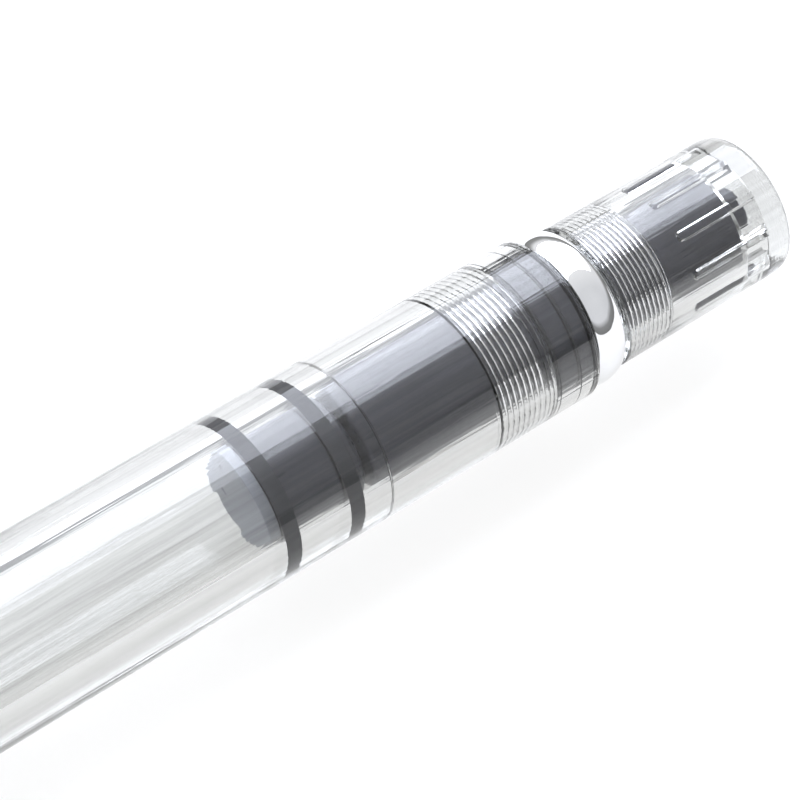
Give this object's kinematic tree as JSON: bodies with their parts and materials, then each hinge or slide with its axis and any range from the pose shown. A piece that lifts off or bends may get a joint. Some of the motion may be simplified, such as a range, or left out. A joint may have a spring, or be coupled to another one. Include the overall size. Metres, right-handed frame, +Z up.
{
  "type": "fountain pen",
  "caption": "Clear capped fountain pen with a screw-driven piston filler, a grooved turning knob at the tail and a sprung pocket clip on the cap.",
  "frame": {"origin": "centre of the filling knob's flat end face, at the pen's tail", "axes": "+X along the pen out of its tail, +Z up with the pen lying on a table"},
  "size_m": [0.14, 0.015, 0.0166],
  "materials": {
    "clear_plastic": "polished clear acrylic",
    "grey_plastic": "moulded satin grey",
    "pale_grey_plastic": "moulded, slightly translucent",
    "seal_rubber": "smooth moulded seal",
    "chrome_trim": "polished plating",
    "stainless_steel": "fine brushed",
    "black_plastic": "moulded matte black",
    "turned_brass": "turned"
  },
  "bodies": {
    "barrel_unit": {"barrel": "clear_plastic", "mechanism_housing": "grey_plastic", "housing_o_ring_front": "seal_rubber", "housing_o_ring_rear": "seal_rubber", "tail_ring": "chrome_trim", "thrust_washer": "stainless_steel", "grip_section": "clear_plastic", "section_o_ring": "seal_rubber", "section_ring": "chrome_trim", "nib_housing": "black_plastic", "nib": "stainless_steel", "feed": "black_plastic"},
    "knob": {"knob_shell": "clear_plastic", "drive_core": "grey_plastic", "drive_nut": "turned_brass"},
    "piston": {"piston_head": "grey_plastic", "piston_crown": "pale_grey_plastic", "front_seal": "seal_rubber", "rear_seal": "seal_rubber", "piston_rod": "pale_grey_plastic"},
    "cap": {"cap_shell": "clear_plastic", "cap_band": "chrome_trim", "inner_cap": "clear_plastic", "clip_ring": "chrome_trim", "cap_finial": "clear_plastic", "finial_nut": "turned_brass"},
    "clip": {"clip": "chrome_trim"}
  },
  "joints": [
    {"name": "knob_turn", "type": "hinge", "parent": "barrel_unit", "child": "knob", "pos_m": [0, 0, 0], "axis": [1, 0, 0], "range_deg": [0, 1620]},
    {"name": "piston_slide", "type": "slide", "parent": "barrel_unit", "child": "piston", "axis": [-1, 0, 0], "range_m": [0, 0.0261]},
    {"name": "cap_slide", "type": "slide", "parent": "barrel_unit", "child": "cap", "axis": [-1, 0, 0], "range_m": [0, 0.065]},
    {"name": "clip_flex", "type": "hinge", "parent": "cap", "child": "clip", "pos_m": [-0.13585, 0.00274, -0.00644], "axis": [0, 0.9205, 0.3907], "range_deg": [0, 3], "stiffness_Nm_per_rad": 2}
  ],
  "couplings": [
    {"joint": "knob_turn", "follows": "piston_slide", "rad_per_m": 1083.3}
  ]
}
